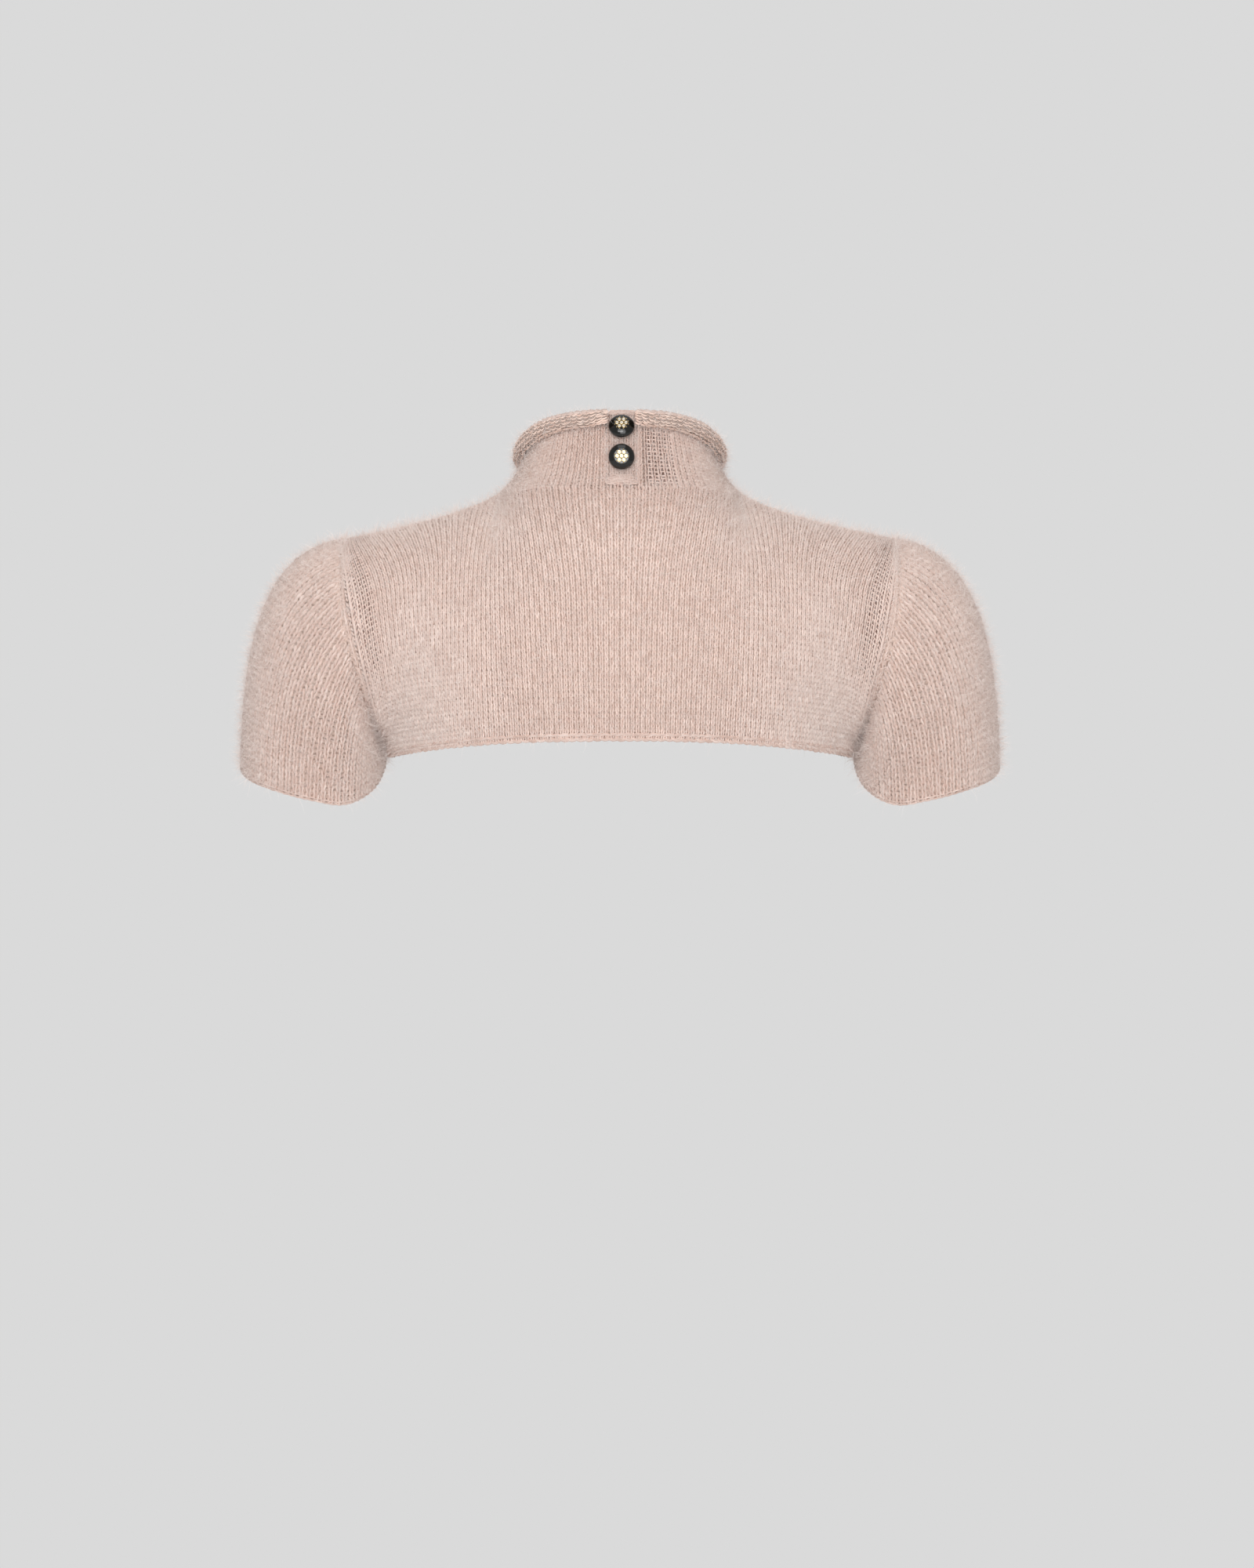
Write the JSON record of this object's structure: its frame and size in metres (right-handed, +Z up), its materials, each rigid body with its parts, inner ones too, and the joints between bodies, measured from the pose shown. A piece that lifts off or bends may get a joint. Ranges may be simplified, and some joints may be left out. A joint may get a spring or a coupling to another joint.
{
  "type": "knit blouse",
  "caption": "Cropped short-sleeved knit blouse with a rolled funnel neck that opens at the back on a short placket with domed buttons; it is pulled on over the head.",
  "frame": {"origin": "middle of the neck, level with its base, where the wearer's neck and shoulders hold it", "axes": "+Z up along the wearer's neck, +X to the wearer's right, +Y to the wearer's front; the back with its buttons faces -Y"},
  "size_m": [0.4572, 0.2031, 0.2329],
  "materials": {
    "blush_knit": "fuzzy knit",
    "black_gloss": "polished",
    "gold_crystal": "polished"
  },
  "bodies": {
    "root": {"back_panel": "blush_knit", "front_panel": "blush_knit", "sleeve_right": "blush_knit", "sleeve_left": "blush_knit", "collar": "blush_knit", "button_placket": "blush_knit", "button_top": "black_gloss", "button_bottom": "black_gloss", "button_top_rosette": "gold_crystal", "button_bottom_rosette": "gold_crystal"}
  },
  "joints": []
}
